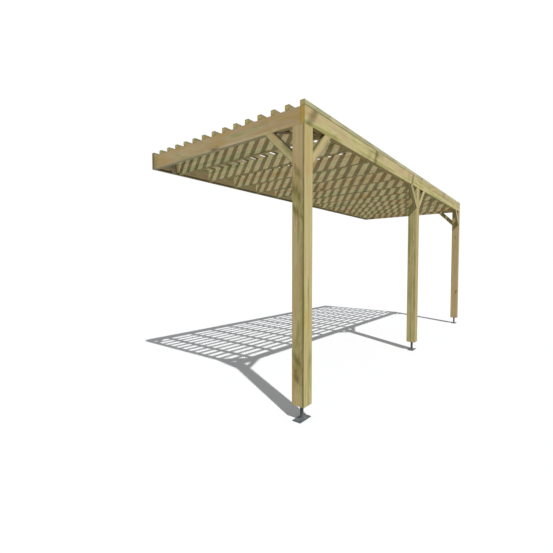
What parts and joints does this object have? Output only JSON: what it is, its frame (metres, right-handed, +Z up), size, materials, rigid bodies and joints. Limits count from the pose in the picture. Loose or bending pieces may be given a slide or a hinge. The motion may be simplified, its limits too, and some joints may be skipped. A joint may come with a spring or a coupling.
{
  "type": "lean-to pergola",
  "caption": "Timber lean-to pergola: posts on steel feet carry a front beam, rafters run back to a wall plate, slats cross the top, knee braces stiffen the corners.",
  "frame": {"origin": "on the ground, in the middle of the plan", "axes": "+X along the wall, +Y towards the wall, +Z up"},
  "size_m": [6.016, 2.15, 2.589],
  "materials": {
    "post_timber": "pressure-treated softwood, planed, square posts",
    "frame_timber": "pressure-treated softwood, planed, beam, plate, rafters and ties",
    "slat_timber": "pressure-treated softwood, planed roof slats",
    "brace_timber": "pressure-treated softwood, planed knee braces",
    "foot_steel": "dark grey coated steel",
    "screw_steel": "zinc-plated steel"
  },
  "bodies": {
    "root": {"bearing_plate_left": "foot_steel", "bearing_plate_middle": "foot_steel", "bearing_plate_right": "foot_steel", "brace_left_front": "brace_timber", "brace_left_side": "brace_timber", "brace_middle_left": "brace_timber", "brace_middle_right": "brace_timber", "brace_right_front": "brace_timber", "brace_right_side": "brace_timber", "brace_screws": "screw_steel", "corner_tie_front_left": "frame_timber", "corner_tie_front_right": "frame_timber", "corner_tie_wall_left": "frame_timber", "corner_tie_wall_right": "frame_timber", "foot_left": "foot_steel", "foot_middle": "foot_steel", "foot_right": "foot_steel", "foot_screws": "screw_steel", "front_beam": "frame_timber", "post_left": "post_timber", "post_middle": "post_timber", "post_right": "post_timber", "post_screws": "screw_steel", "rafter_01": "frame_timber", "rafter_02": "frame_timber", "rafter_03": "frame_timber", "rafter_04": "frame_timber", "rafter_05": "frame_timber", "rafter_06": "frame_timber", "rafter_07": "frame_timber", "rafter_08": "frame_timber", "rafter_09": "frame_timber", "rafter_10": "frame_timber", "rafter_11": "frame_timber", "rafter_12": "frame_timber", "rafter_13": "frame_timber", "rafter_14": "frame_timber", "rafter_screws": "screw_steel", "slat_01": "slat_timber", "slat_02": "slat_timber", "slat_03": "slat_timber", "slat_04": "slat_timber", "slat_05": "slat_timber", "slat_06": "slat_timber", "slat_07": "slat_timber", "slat_08": "slat_timber", "slat_09": "slat_timber", "slat_10": "slat_timber", "slat_11": "slat_timber", "slat_12": "slat_timber", "slat_13": "slat_timber", "slat_14": "slat_timber", "slat_15": "slat_timber", "slat_screws": "screw_steel", "tie_screws": "screw_steel", "wall_plate": "frame_timber"}
  },
  "joints": []
}
